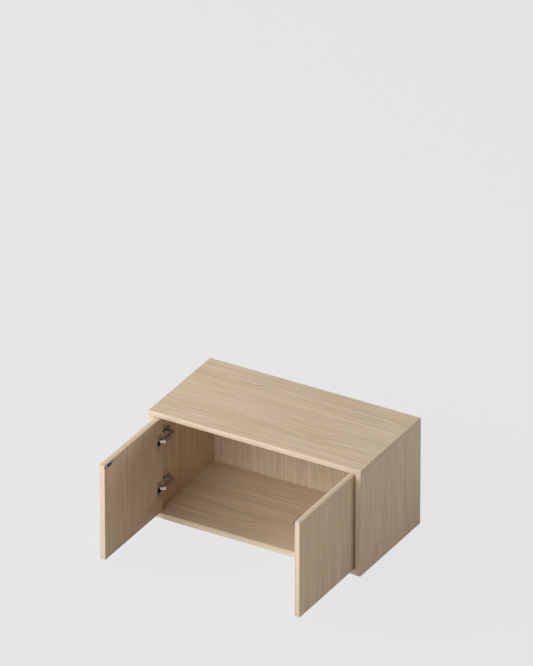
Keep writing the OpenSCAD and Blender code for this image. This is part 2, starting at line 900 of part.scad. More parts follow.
strike_plate(LEFT);  // left_strike_plate
strike_screws(LEFT);  // left_strike_screws
strike_plate(RIGHT);  // right_strike_plate
strike_screws(RIGHT);  // right_strike_screws
latch_housing(LEFT);  // left_latch_housing
latch_end_cap(LEFT);  // left_latch_end_cap
latch_plunger(LEFT);  // left_latch_plunger
latch_spring(LEFT);  // left_latch_spring
latch_screws(LEFT);  // left_latch_screws
latch_housing(RIGHT);  // right_latch_housing
latch_end_cap(RIGHT);  // right_latch_end_cap
latch_plunger(RIGHT);  // right_latch_plunger
latch_spring(RIGHT);  // right_latch_spring
latch_screws(RIGHT);  // right_latch_screws
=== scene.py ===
# %% [markdown]
# # A desktop cabinet with two doors
# A low cabinet of laminated boards stands with both doors open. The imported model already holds
# every board, hinge, screw and latch at its real size. This lesson dresses that frame: it turns,
# repeats and softens the small pieces, gives each surface the finish of its real material, and
# lights and photographs the whole thing like a studio catalogue picture.

# %% Load the frame
import json
import math

import bmesh
import bpy
from mathutils import Matrix, Vector


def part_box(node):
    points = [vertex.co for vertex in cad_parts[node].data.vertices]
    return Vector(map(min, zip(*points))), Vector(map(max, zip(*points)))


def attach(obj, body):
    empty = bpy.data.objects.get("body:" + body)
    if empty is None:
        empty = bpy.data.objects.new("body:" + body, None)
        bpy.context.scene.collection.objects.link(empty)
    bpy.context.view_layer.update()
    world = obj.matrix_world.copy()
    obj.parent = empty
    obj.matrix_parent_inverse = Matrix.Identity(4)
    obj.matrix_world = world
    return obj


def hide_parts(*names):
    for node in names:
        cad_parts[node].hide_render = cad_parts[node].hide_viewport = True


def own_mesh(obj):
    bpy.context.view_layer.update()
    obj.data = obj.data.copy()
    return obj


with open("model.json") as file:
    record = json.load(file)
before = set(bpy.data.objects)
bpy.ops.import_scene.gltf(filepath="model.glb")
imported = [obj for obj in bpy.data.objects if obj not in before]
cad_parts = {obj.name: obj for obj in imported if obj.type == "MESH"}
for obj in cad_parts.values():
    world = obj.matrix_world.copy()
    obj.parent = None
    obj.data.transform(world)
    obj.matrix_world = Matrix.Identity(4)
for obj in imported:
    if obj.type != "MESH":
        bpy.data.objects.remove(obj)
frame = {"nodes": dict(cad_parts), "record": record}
nodes = frame["nodes"]
bodies = frame["record"]["behaviour"]["bodies"]
body_of_node = {name: body for body, members in bodies.items() for name in members}
slot_of_node = {s["node"]: s["material_slot"] for s in frame["record"]["subparts"]}
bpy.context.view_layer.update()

# %% [markdown]
# ## Small tools
# Nodes are added so often that one short function does it: it makes the node, gives it its
# settings, and fills or links its sockets. Sizes are written in millimetres, as a cabinet maker
# would, and colours as sRGB hex values, which Blender needs turned into linear light.

# %% Tools for nodes and colours
MM = 0.001
SIDES = {"left": -1, "right": 1}


def linear(hex_colour):
    """The linear RGBA of an sRGB hex colour."""
    channels = [int(hex_colour[i : i + 2], 16) / 255 for i in (1, 3, 5)]
    return [c / 12.92 if c <= 0.04045 else ((c + 0.055) / 1.055) ** 2.4 for c in channels] + [1]


def add(tree, kind, inputs=None, **settings):
    """Adds a node. Each input is a value, a socket, a node's first output, or a list to join."""
    node = tree.nodes.new(kind)
    for name, value in settings.items():
        setattr(node, name, value)
    for key, value in (inputs or {}).items():
        several = value if isinstance(value, list) and not isinstance(value[0], float) else [value]
        for one in several:
            one = one.outputs[0] if isinstance(one, bpy.types.Node) else one
            if isinstance(one, bpy.types.NodeSocket):
                tree.links.new(one, node.inputs[key])
            else:
                node.inputs[key].default_value = one
    return node


def new_material(name):
    """A new material, its node tree and its shader."""
    material = bpy.data.materials.new(name)
    material.use_nodes = True
    tree = material.node_tree
    return material, tree, tree.nodes["Principled BSDF"]


print("tools ready")

# %% [markdown]
# ## The camera
# The picture is taken with a very long lens from far off, above and to the right of the front, so
# that parallel edges stay almost parallel. The numbers are the place that makes this cabinet's
# corners fall where a catalogue picture has them: the lens looks over the cabinet, which sits low
# in the frame. The plain view transform shows each colour as it is mixed.

# %% Camera
CAMERA_TURN = math.radians(29.97)
CAMERA_RISE = math.radians(29.42)
CAMERA_DISTANCE = 36.737
CAMERA_LENS = 603.6
AIM_LEFT = 0.0599
AIM_UP = 0.4395
FRAME_MIDDLE = Vector((0, 0, 0.2))

right = Vector((math.cos(CAMERA_TURN), math.sin(CAMERA_TURN), 0))
back = Vector(
    (
        math.sin(CAMERA_TURN) * math.cos(CAMERA_RISE),
        -math.cos(CAMERA_TURN) * math.cos(CAMERA_RISE),
        math.sin(CAMERA_RISE),
    )
)
up = back.cross(right)
camera = bpy.data.objects.new("camera", bpy.data.cameras.new("camera"))
bpy.context.scene.collection.objects.link(camera)
camera.data.lens = CAMERA_LENS
camera.data.sensor_width = 36
camera.data.clip_end = 200
camera.matrix_world = Matrix((right, up, back)).transposed().to_4x4()
camera.location = FRAME_MIDDLE + back * CAMERA_DISTANCE - right * AIM_LEFT + up * AIM_UP
bpy.context.scene.camera = camera
bpy.context.scene.view_settings.view_transform = "Standard"
print("camera at", [round(c, 2) for c in camera.location])

# %% [markdown]
# ## The studio
# The cabinet stands on a seamless pale sweep. Three large soft lamps stand round its left and
# front sides: they make the front edges the brightest faces and leave the right-hand sides in
# shade. A fourth, low behind on the right, lifts that shade a little. All stand far off, so that
# the light hardly falls off from one end of the cabinet to the other.
# The background must stay an even light grey, so seen from the camera, or in a reflection, the
# sweep mixes its lit surface with a plain glow of that grey. The share that stays lit keeps the
# soft shadow under the cabinet.

# %% Floor, world and lamps
BACKGROUND = "#E6E6E6"
SWEEP = "#F2F2F2"
FILL_LIGHT = "#FFFFFF"
FLOOR_SIZE = 60
FLOOR_GLOW = 0.95
WORLD_STRENGTH = 0.02
LAMP_DISTANCE = 9.0


def seen_directly(tree):
    """1 where a ray comes from the camera, a mirror or glass, and 0 where light bounces."""
    path = add(tree, "ShaderNodeLightPath").outputs
    direct = path["Is Camera Ray"]
    for ray in ("Is Glossy Ray", "Is Transmission Ray"):
        direct = add(tree, "ShaderNodeMath", {0: direct, 1: path[ray]}, operation="MAXIMUM")
    return direct


def make_floor():
    """A wide pale floor that shows mostly the background's grey where it is seen."""
    mesh = bpy.data.meshes.new("floor")
    half = FLOOR_SIZE / 2
    corners = [(-half, -half, 0), (half, -half, 0), (half, half, 0), (-half, half, 0)]
    mesh.from_pydata(corners, [], [(0, 1, 2, 3)])
    floor = bpy.data.objects.new("floor", mesh)
    bpy.context.scene.collection.objects.link(floor)
    material, tree, shader = new_material("pale_studio_sweep")
    shader.inputs["Base Color"].default_value = linear(SWEEP)
    shader.inputs["Roughness"].default_value = 0.9
    shader.inputs["Specular IOR Level"].default_value = 0.0
    glow = add(tree, "ShaderNodeEmission", {"Color": linear(BACKGROUND), "Strength": 1.0})
    share = add(
        tree, "ShaderNodeMath", {0: seen_directly(tree), 1: FLOOR_GLOW}, operation="MULTIPLY"
    )
    shown = add(tree, "ShaderNodeMixShader", {0: share, 1: shader, 2: glow})
    tree.links.new(shown.outputs[0], tree.nodes["Material Output"].inputs["Surface"])
    mesh.materials.append(material)


def make_world():
    """A world that gives hardly any light, and shows the background's grey where it is seen."""
    world = bpy.data.worlds.new("pale_studio")
    bpy.context.scene.world = world
    world.use_nodes = True
    tree = world.node_tree
    tree.nodes.clear()
    light = linear(FILL_LIGHT)
    fill = add(tree, "ShaderNodeBackground", {"Color": light, "Strength": WORLD_STRENGTH})
    seen = add(tree, "ShaderNodeBackground", {"Color": linear(BACKGROUND), "Strength": 1.0})
    shown = add(tree, "ShaderNodeMixShader", {0: seen_directly(tree), 1: fill, 2: seen})
    add(tree, "ShaderNodeOutputWorld", {"Surface": shown})


def soft_lamp(name, turn, rise, size, power):
    """A round soft lamp, turned from the front and raised by those degrees."""
    turn, rise = math.radians(turn), math.radians(rise)
    forward = Vector((math.sin(turn), -math.cos(turn), 0))
    away = forward * math.cos(rise) + Vector((0, 0, math.sin(rise)))
    lamp = bpy.data.lights.new(name, "AREA")
    lamp.shape = "DISK"
    lamp.size = size
    lamp.energy = power
    holder = bpy.data.objects.new(name, lamp)
    bpy.context.scene.collection.objects.link(holder)
    holder.location = FRAME_MIDDLE + away * LAMP_DISTANCE
    holder.rotation_euler = away.to_track_quat("Z", "Y").to_euler()


make_floor()
make_world()
soft_lamp("left_lamp", turn=-75, rise=32, size=6.1, power=655)
soft_lamp("front_left_lamp", turn=-25, rise=32, size=6.1, power=275)
soft_lamp("front_lamp", turn=0, rise=32, size=6.1, power=341)
soft_lamp("rim_lamp", turn=130, rise=14, size=4.0, power=214)
print("studio lit")

# %% [markdown]
# ## Laminate with an oak grain
# The boards are chipboard under a printed oak laminate. Its figure is flat-sawn oak: growth rings
# show as long wavering lines, now close, now wide. They bow where the saw ran along the middle of
# the tree, part round a knot, and a pale ray of sapwood runs between them. One group of nodes
# draws that figure for every board. It needs two kinds of mark: noise drawn out along the grain,
# and soft patches for what stands alone. Both are measured in millimetres on the board.

# %% Streaks and patches
FALL_TO = 1 / math.e


def laid_flat(tree, along, across):
    """The object's coordinates with X along the grain and Y across it."""
    position = add(tree, "ShaderNodeTexCoord").outputs["Object"]
    place = [
        add(tree, "ShaderNodeVectorMath", {0: position, 1: way}, operation="DOT_PRODUCT")
        for way in (along, across)
    ]
    return add(
        tree,
        "ShaderNodeCombineXYZ",
        {"X": place[0].outputs["Value"], "Y": place[1].outputs["Value"]},
    )


def streaks(tree, place, length, width, detail, start):
    """Noise drawn out along the grain, in marks about length by width millimetres."""
    stretched = add(
        tree,
        "ShaderNodeMapping",
        {
            "Vector": place,
            "Location": (start, 2.7 * start, 0),
            "Scale": (1 / (length * MM), 1 / (width * MM), 1),
        },
    )
    return add(
        tree,
        "ShaderNodeTexNoise",
        {"Vector": stretched, "Scale": 1.0, "Detail": detail, "Roughness": 0.55},
        noise_dimensions="2D",
    )


def patch(tree, flat, centre, length, width, slope=0.0):
    """1 at the centre, falling to FALL_TO at length along the grain and width across it."""
    away = add(tree, "ShaderNodeVectorMath", {0: flat, 1: centre}, operation="SUBTRACT")
    parts = add(tree, "ShaderNodeSeparateXYZ", {0: away}).outputs
    across = add(
        tree,
        "ShaderNodeMath",
        {0: parts["X"], 1: -slope, 2: parts["Y"]},
        operation="MULTIPLY_ADD",
    )
    level = add(tree, "ShaderNodeCombineXYZ", {"X": parts["X"], "Y": across})
    scaled = add(
        tree,
        "ShaderNodeVectorMath",
        {0: level, 1: (1 / (length * MM), 1 / (width * MM), 0)},
        operation="MULTIPLY",
    )
    square = add(tree, "ShaderNodeVectorMath", {0: scaled, 1: scaled}, operation="DOT_PRODUCT")
    return add(
        tree, "ShaderNodeMath", {0: FALL_TO, 1: square.outputs["Value"]}, operation="POWER"
    )


def weighted(tree, start, *parts):
    """Adds up values, each times its weight, to a starting value."""
    total = start
    for value, weight in parts:
        total = add(
            tree, "ShaderNodeMath", {0: value, 1: weight, 2: total}, operation="MULTIPLY_ADD"
        )
    return total


print("streaks and patches ready")

# %% [markdown]
# Each board tells the group which way its grain runs, from which part of the sheet it was cut,
# and where its knot, bow and ray lie. The rings stay strong for a long way on both sides of a
# knot, so it gets a second, longer patch. A thin shade runs along a ray.

# %% The knot, the bow and the ray
KNOT = {"length": 70.0, "width": 12.0}
KNOT_ROW = {"length": 9 * KNOT["length"], "width": 1.6 * KNOT["width"]}
BOW = {"length": 330.0, "width": 44.0}
RAY = {"length": 290.0, "width": 7.0, "slope": -0.035}
RAY_SHADE = {**RAY, "width": 2.2}
SHADE_FROM_RAY = 9.0

figure = bpy.data.node_groups.new("oak_figure", "ShaderNodeTree")
for name in ("Along", "Across", "Start", "Knot", "Bow", "Ray"):
    figure.interface.new_socket(name, in_out="INPUT", socket_type="NodeSocketVector")
for name in ("Tone", "Warmth", "Pores"):
    figure.interface.new_socket(name, in_out="OUTPUT", socket_type="NodeSocketFloat")
given = add(figure, "NodeGroupInput").outputs
flat = laid_flat(figure, given["Along"], given["Across"])
sheet = add(figure, "ShaderNodeVectorMath", {0: flat, 1: given["Start"]}, operation="ADD")
knot = patch(figure, flat, given["Knot"], **KNOT)
knot_row = patch(figure, flat, given["Knot"], **KNOT_ROW)
bow = patch(figure, flat, given["Bow"], **BOW)
ray = patch(figure, flat, given["Ray"], **RAY)
beside_ray = add(
    figure,
    "ShaderNodeVectorMath",
    {0: given["Ray"], 1: (0, SHADE_FROM_RAY * MM, 0)},
    operation="ADD",
)
ray_shade = patch(figure, flat, beside_ray, **RAY_SHADE)
print("a board's own marks:", len(figure.nodes), "nodes")

# %% [markdown]
# The rings are counted across the board. The count wavers slowly along the grain and is shifted
# near the knot and the bow, so that the lines flow round them by themselves. Some years' rings
# are wide and some are narrow, and each darkens slowly and ends in a thin line of late wood.

# %% Growth rings
RING_PITCH = 6.5
WAVER_RINGS = 6.5
RIPPLE_RINGS = 1.4
KNOT_RINGS = 2.6
BOW_RINGS = -4.0
UNEVEN_RINGS = 1.8
# Share of the ring, and how dark it is there
RING_PROFILE = ((0.5, 0.25), (0.78, 0.8), (0.88, 1.0), (0.95, 0.55))

along, across = add(figure, "ShaderNodeSeparateXYZ", {0: sheet}).outputs[:2]
count = weighted(
    figure,
    0.0,
    (across, 1 / (RING_PITCH * MM)),
    (streaks(figure, sheet, 560, 100, 1.0, 1.3), WAVER_RINGS),
    (streaks(figure, sheet, 170, 24, 1.0, 7.1), RIPPLE_RINGS),
    (knot, KNOT_RINGS),
    (bow, BOW_RINGS),
)
level = weighted(figure, 0.0, (count, RING_PITCH * MM))
flow = add(figure, "ShaderNodeCombineXYZ", {"X": along, "Y": level})
uneven = weighted(figure, count, (streaks(figure, flow, 2500, 13, 1.0, 27.0), UNEVEN_RINGS))
phase = add(figure, "ShaderNodeMath", {0: uneven}, operation="FRACT")
rings = add(figure, "ShaderNodeValToRGB", {"Fac": phase})
ramp = rings.color_ramp
ramp.elements[0].color = ramp.elements[1].color = (0, 0, 0, 1)
for where, dark in RING_PROFILE:
    ramp.elements.new(where).color = (dark, dark, dark, 1)
print("rings every", RING_PITCH, "mm:", len(figure.nodes), "nodes")

# %% [markdown]
# Broad bands, narrow streaks and fibres lie over the rings. They follow the flow of the rings,
# not the straight edge of the board, so they bend round the knot as well. The rings show in some
# stretches, at the bow and along the knot's row, and fade elsewhere. The group gives out a tone
# from light to dark, a warmth from grey to tan, and the pores, which are fine dark dashes.

# %% Tone, warmth and pores
SHOWN_BY_KNOT = 0.7
SHOWN_BY_BOW = 0.45
KNOT_CORE_POWER = 9.0
# Weights in the tone
TONE_START = -1.37
RINGS_IN_TONE = 0.8
KNOT_IN_TONE = 1.3
RAY_IN_TONE = -0.45
SHADE_IN_TONE = 0.5
# Length and width in mm, detail, start, and weight in the tone
TONE_STREAKS = (
    (900, 46, 1.0, 11.0, 0.3),
    (600, 4.2, 2.0, 17.0, 2.0),
    (240, 2.8, 2.0, 20.0, 0.7),
    (70, 1.6, 2.0, 23.0, 0.3),
)

stretch = add(
    figure,
    "ShaderNodeMapRange",
    {
        "Value": streaks(figure, flow, 260, 40, 1.0, 3.9),
        "From Min": 0.36,
        "From Max": 0.64,
        "To Min": 0.2,
    },
)
shown = weighted(figure, stretch, (knot_row, SHOWN_BY_KNOT), (bow, SHOWN_BY_BOW))
shown_rings = add(figure, "ShaderNodeMath", {0: rings, 1: shown}, operation="MULTIPLY")
knot_core = add(figure, "ShaderNodeMath", {0: knot, 1: KNOT_CORE_POWER}, operation="POWER")
marks = [
    (streaks(figure, flow, length, width, detail, start), weight)
    for length, width, detail, start, weight in TONE_STREAKS
]
tone = weighted(
    figure,
    TONE_START,
    (shown_rings, RINGS_IN_TONE),
    *marks,
    (knot_core, KNOT_IN_TONE),
    (ray, RAY_IN_TONE),
    (ray_shade, SHADE_IN_TONE),
)
warmth = add(
    figure,
    "ShaderNodeMapRange",
    {"Value": streaks(figure, flow, 300, 16, 2.0, 31.0), "From Min": 0.35, "From Max": 0.65},
)
pores = add(
    figure,
    "ShaderNodeMapRange",
    {"Value": streaks(figure, flow, 11, 0.55, 1.0, 41.0), "From Min": 0.62, "From Max": 0.74},
)
add(figure, "NodeGroupOutput", {"Tone": tone, "Warmth": warmth, "Pores": pores})
print("figure group:", len(figure.nodes), "nodes")

# %% [markdown]
# The laminate itself is printed paper under a satin melamine film. The film gives a soft sheen,
# and the pores are pressed into it, which the bump shows. The print lays its inks over a light
# ground one after another: the dark of the grain, a warm tan and the brown of the pores.

# %% Laminate
FAR_AWAY = (50.0, 50.0, 0.0)
OAK_LIGHT = "#E1CFB7"
OAK_DARK = "#BDA88B"
OAK_TAN = "#D5BE9C"
OAK_PORE = "#94795A"
TAN_SHARE = 0.6
PORE_SHARE = 0.3


def with_painted_light(colour, painted_light):
    """A linear colour multiplied by the tint, which is painted light and shade."""
    return [channel * share for channel, share in zip(linear(colour), (*painted_light, 1))]


def laminate(
    name, along, across, start, painted_light=(1, 1, 1), knot=FAR_AWAY, bow=FAR_AWAY, ray=FAR_AWAY
):
    """Satin oak laminate. The knot, bow and ray are places along and across the grain."""
    material, tree, shader = new_material(name)
    grain = add(
        tree,
        "ShaderNodeGroup",
        {"Along": along, "Across": across, "Start": start, "Knot": knot, "Bow": bow, "Ray": ray},
        node_tree=figure,
    )
    tone, warmth, pores = grain.outputs
    warm = add(tree, "ShaderNodeMath", {0: warmth, 1: TAN_SHARE}, operation="MULTIPLY")
    dots = add(tree, "ShaderNodeMath", {0: pores, 1: PORE_SHARE}, operation="MULTIPLY")
    wood = with_painted_light(OAK_LIGHT, painted_light)
    for share, ink in ((tone, OAK_DARK), (warm, OAK_TAN), (dots, OAK_PORE)):
        layer = add(
            tree,
            "ShaderNodeMix",
            {"Factor": share, 6: wood, 7: with_painted_light(ink, painted_light)},
            data_type="RGBA",
        )
        wood = layer.outputs[2]
    tree.links.new(wood, shader.inputs["Base Color"])
    shader.inputs["Roughness"].default_value = 0.55
    shader.inputs["Specular IOR Level"].default_value = 0.25
    pressed = add(
        tree,
        "ShaderNodeBump",
        {"Height": pores, "Strength": 0.25, "Distance": 0.05 * MM},
        invert=True,
    )
    tree.links.new(pressed.outputs[0], shader.inputs["Normal"])
    return material


print("laminate ready")

# %% [markdown]
# Each board is cut from another part of the sheet, so each gets its own starting point. The grain
# runs along the board: left to right on the top and bottom, and upright everywhere else. Each
# board also gets a tint of painted light and shade, which makes it a little lighter or darker,
# warmer or bluer, than the lamps alone leave it.

# %% A laminate for each board
X, Y, Z = (1, 0, 0), (0, 1, 0), (0, 0, 1)
# Each tint is painted light and shade on that board
board_finish = {
    "top_panel": laminate(
        "oak_laminate_top",
        X,
        Y,
        (3.1, 1.7, 0),
        knot=(0.157, -0.09, 0),
        bow=(0.06, 0.145, 0),
        ray=(0.2, 0.065, 0),
    ),
    "bottom_panel": laminate(
        "oak_laminate_bottom",
        X,
        Y,
        (8.3, 4.4, 0),
        painted_light=(0.93, 0.91, 0.89),
        knot=(-0.1, -0.06, 0),
        ray=(-0.05, 0.06, 0),
    ),
    "left_side_panel": laminate(
        "oak_laminate_left_side", Z, Y, (13.9, 6.2, 0), painted_light=(0.9, 0.86, 0.83), ray=(0.2, -0.1, 0)
    ),
    "right_side_panel": laminate(
        "oak_laminate_right_side",
        Z,
        Y,
        (19.4, 9.6, 0),
        painted_light=(0.97, 0.93, 0.9),
        knot=(0.05, -0.095, 0),
        ray=(0.3, -0.09, 0),
    ),
    "back_panel": laminate(
        "oak_laminate_back",
        Z,
        X,
        (24.2, 12.1, 0),
        painted_light=(0.98, 1.0, 1.05),
        knot=(0.2, 0.02, 0),
        bow=(0.3, 0.1, 0),
    ),
    "left_door_panel": laminate(
        "oak_laminate_left_door", Z, Y, (31.7, 15.3, 0), painted_light=(0.88, 0.84, 0.79)
    ),
    "right_door_panel": laminate(
        "oak_laminate_right_door",
        Z,
        Y,
        (37.5, 18.8, 0),
        painted_light=(0.91, 0.865, 0.815),
        ray=(0.16, -0.37, 0),
    ),
}
print("laminates:", len(board_finish))

# %% [markdown]
# The narrow edges are covered with an edge band, a one millimetre strip of printed oak. Cut along
# its length, it shows no rings, only a few even stripes that run with the edge. The grain goes
# along whichever way the strip goes, and only the thickness of the board lies across it.

# %% Edge band
BAND_LIGHT = "#E2D1BC"
BAND_DARK = "#C4AE92"
BAND_MEAN = 0.13


def edge_band(name, along, across, start, painted_light=(1, 1, 1), stripes=1.0):
    """Printed edge band. along holds 1 for each direction in which a strip runs."""
    material, tree, shader = new_material(name)
    flat = laid_flat(tree, along, across)
    contrast = 1.5 * stripes
    tone = weighted(
        tree,
        BAND_MEAN - contrast / 2,
        (streaks(tree, flat, 900, 2.6, 1.0, start), contrast),
        (streaks(tree, flat, 220, 1.7, 1.0, start + 3), 0.5),
        (streaks(tree, flat, 60, 9, 1.0, start + 6), 0.25),
    )
    # Both colours carry the tint, which is painted light and shade
    strip = add(
        tree,
        "ShaderNodeMix",
        {"Factor": tone, 6: with_painted_light(BAND_LIGHT, painted_light), 7: with_painted_light(BAND_DARK, painted_light)},
        data_type="RGBA",
    )
    tree.links.new(strip.outputs[2], shader.inputs["Base Color"])
    shader.inputs["Roughness"].default_value = 0.5
    shader.inputs["Specular IOR Level"].default_value = 0.3
    return material


print("edge band ready")

# %% [markdown]
# Each strip's stripes start at a place of their own. Each strip also gets a tint of painted light
# and shade; on the front strip of the right side it is a painted shadow of the right door. The
# sides of the top and the doors' tops get darker copies of their bands, which are painted shade:
# there a strip's faces that point along the given axis get the second finish.

# %% A band for each edge
band_finish = {
    "top_edge_band": edge_band(
        "oak_edge_band_top", (1, 1, 0), Z, 38.2, painted_light=(1.04, 1.05, 1.07)
    ),
    "bottom_edge_band": edge_band(
        "oak_edge_band_bottom", X, Z, 46.6, painted_light=(1.05, 1.08, 1.1), stripes=1.6
    ),
    "left_side_edge_band": edge_band("oak_edge_band_left_side", Z, X, 52.8),
    # Its tint is a painted shadow of the right door
    "right_side_edge_band": edge_band(
        "oak_edge_band_right_side", Z, X, 57.1, painted_light=(0.985, 0.96, 0.94)
    ),
    "left_door_edge_band": edge_band(
        "oak_edge_band_left_door", (0, 1, 1), X, 63.5, painted_light=(1.0, 1.0, 1.03)
    ),
    "right_door_edge_band": edge_band(
        "oak_edge_band_right_door", (0, 1, 1), X, 69.9, painted_light=(0.98, 0.98, 0.97), stripes=2.4
    ),
}
# Darker copies of two bands, which are painted shade
shaded_side_of_top = edge_band("oak_edge_band_top_side_painted_shade", (1, 1, 0), Z, 44.0, painted_light=(0.86, 0.79, 0.72))
shaded_top_of_door = edge_band(
    "oak_edge_band_door_top_painted_shade", (0, 1, 1), X, 75.2, painted_light=(0.94, 0.93, 0.89), stripes=2.2
)
# Number of the axis, and the painted-shade copy that the faces pointing along it get
second_band = {
    "top_edge_band": (0, shaded_side_of_top),
    "left_door_edge_band": (2, shaded_top_of_door),
    "right_door_edge_band": (2, shaded_top_of_door),
}
print("edge bands:", len(band_finish) + 2)

# %% [markdown]
# ## Raw chipboard
# At the back of the frame, and in every bore, the board's core is bare: chips of softwood and
# hardwood pressed flat with glue. Cells give the chips, and each cell has a shade of its own.

# %% Chipboard
CHIP_SIZE = 1.8
CHIP_DARK = "#8E6C45"
CHIP_LIGHT = "#CFB389"


def chipboard():
    """Bare chipboard, in which each chip has a shade of its own."""
    material, tree, shader = new_material("chipboard_core")
    position = add(tree, "ShaderNodeTexCoord").outputs["Object"]
    chips = add(
        tree,
        "ShaderNodeTexVoronoi",
        {"Vector": position, "Scale": 1 / (CHIP_SIZE * MM), "Randomness": 1.0},
    )
    shade = add(tree, "ShaderNodeSeparateColor", {0: chips.outputs["Color"]})
    coloured = add(
        tree,
        "ShaderNodeMix",
        {"Factor": shade.outputs[0], 6: linear(CHIP_DARK), 7: linear(CHIP_LIGHT)},
        data_type="RGBA",
    )
    tree.links.new(coloured.outputs[2], shader.inputs["Base Color"])
    shader.inputs["Roughness"].default_value = 0.85
    rough = add(
        tree,
        "ShaderNodeBump",
        {"Height": chips.outputs["Distance"], "Strength": 0.5, "Distance": 0.3 * MM},
    )
    tree.links.new(rough.outputs[0], shader.inputs["Normal"])
    return material


raw_chipboard = chipboard()
print("chipboard ready")

# %% [markdown]
# ## Metals and plastics
# The hinges are pressed from sheet steel and plated with nickel. Nickel is a warm, slightly
# yellow metal, and pressing leaves it satin rather than mirror bright. Fine scratches from the
# press are drawn as a faint change of roughness. Zinc is bluer; the screws of the strike plates
# have it, whatever their slot says, and on the plates themselves it is passivated to a dark grey
# with a dull shine. Spring wire is drawn bright. The inside of the cups and every screw's recess
# get a dark, dull metal that is painted shade. The push latches are moulded, in grey nylon and
# dark acetal, and the grain of the mould takes the mirror off their shine.

# %% Metals and plastics
ROUGHNESS_SPREAD = 0.07
CLOUD_SIZE = 4.0
# A mould's real grain is too fine to show, so it is drawn this coarse
MOULD_GRAIN = 0.35


def plated_metal(name, colour, roughness):
    """A plated metal whose roughness changes a little from one cloud of scratches to the next."""
    material, tree, shader = new_material(name)
    position = add(tree, "ShaderNodeTexCoord").outputs["Object"]
    clouds = add(
        tree,
        "ShaderNodeTexNoise",
        {"Vector": position, "Scale": 1 / (CLOUD_SIZE * MM), "Detail": 3.0},
    )
    varied = add(
        tree,
        "ShaderNodeMapRange",
        {
            "Value": clouds,
            "From Min": 0.3,
            "From Max": 0.7,
            "To Min": roughness * (1 - ROUGHNESS_SPREAD),
            "To Max": roughness * (1 + ROUGHNESS_SPREAD),
        },
    )
    tree.links.new(varied.outputs[0], shader.inputs["Roughness"])
    shader.inputs["Base Color"].default_value = linear(colour)
    shader.inputs["Metallic"].default_value = 1.0
    return material


def moulded_plastic(name, colour, roughness=0.45):
    """Moulded plastic with the fine grain of its spark-eroded mould."""
    material, tree, shader = new_material(name)
    position = add(tree, "ShaderNodeTexCoord").outputs["Object"]
    grains = add(
        tree,
        "ShaderNodeTexNoise",
        {"Vector": position, "Scale": 1 / (MOULD_GRAIN * MM), "Detail": 1.0},
    )
    dimpled = add(
        tree,
        "ShaderNodeBump",
        {"Height": grains, "Strength": 0.3, "Distance": 0.03 * MM},
    )
    tree.links.new(dimpled.outputs[0], shader.inputs["Normal"])
    shader.inputs["Base Color"].default_value = linear(colour)
    shader.inputs["Roughness"].default_value = roughness
    return material


finish_of_slot = {
    "hinge_steel": plated_metal("nickel_plated_sheet_steel", "#AFA8A2", 0.36),
    "nickel_plate": plated_metal("bright_nickel_plate", "#C0AFA3", 0.26),
    "dark_steel": plated_metal("dark_passivated_zinc", "#655F5F", 0.35),
    "bright_zinc": plated_metal("blue_passivated_zinc", "#D9D8E4", 0.24),
    "spring_steel": plated_metal("drawn_spring_wire", "#A8A8A8", 0.25),
    "latch_plastic": moulded_plastic("grey_moulded_nylon", "#8B8D90"),
    "plunger_plastic": moulded_plastic("dark_moulded_acetal", "#3A3B3E", 0.3),
}
# Painted shade: a dark, dull metal for the inside of the cups and the screws' recesses, where
# shade falls
painted_shade_metal = plated_metal("painted_shade_inside_of_the_cup", "#3A3632", 0.4)
print("metals and plastics:", len(finish_of_slot))

# %% [markdown]
# Beech dowels hold the frame together. They are hidden in the boards, but they still get the
# pale, finely flecked look of turned beech.

# %% Beech
BEECH_LIGHT = "#E0C89C"
BEECH_DARK = "#C49F6C"


def turned_beech():
    """Pale beech with short, darker flecks."""
    material, tree, shader = new_material("turned_beech")
    position = add(tree, "ShaderNodeTexCoord").outputs["Object"]
    flecks = streaks(tree, position, 3, 0.6, 2.0, 5.0)
    coloured = add(
        tree,
        "ShaderNodeMix",
        {"Factor": flecks, 6: linear(BEECH_LIGHT), 7: linear(BEECH_DARK)},
        data_type="RGBA",
    )
    tree.links.new(coloured.outputs[2], shader.inputs["Base Color"])
    shader.inputs["Roughness"].default_value = 0.6
    return material


finish_of_slot["beech"] = turned_beech()
print("beech ready")

# %% [markdown]
# ## Softened edges
# A computed solid has razor edges, and real boards and pressings don't: the least rounding
# catches a line of light. A node is copied, its loose triangles are joined, flat faces are merged,
# and the sharp edges that stick out get a small bevel. The copy then stands for the node. The
# bevel doesn't slide along other edges, because it would then fold flat faces over their holes.

# %% Copy a node with softened edges
JOIN_WITHIN = 0.01 * MM
# Angles in degrees
FLAT_WITHIN = 0.5
SHARP = 30
CREASE = 35


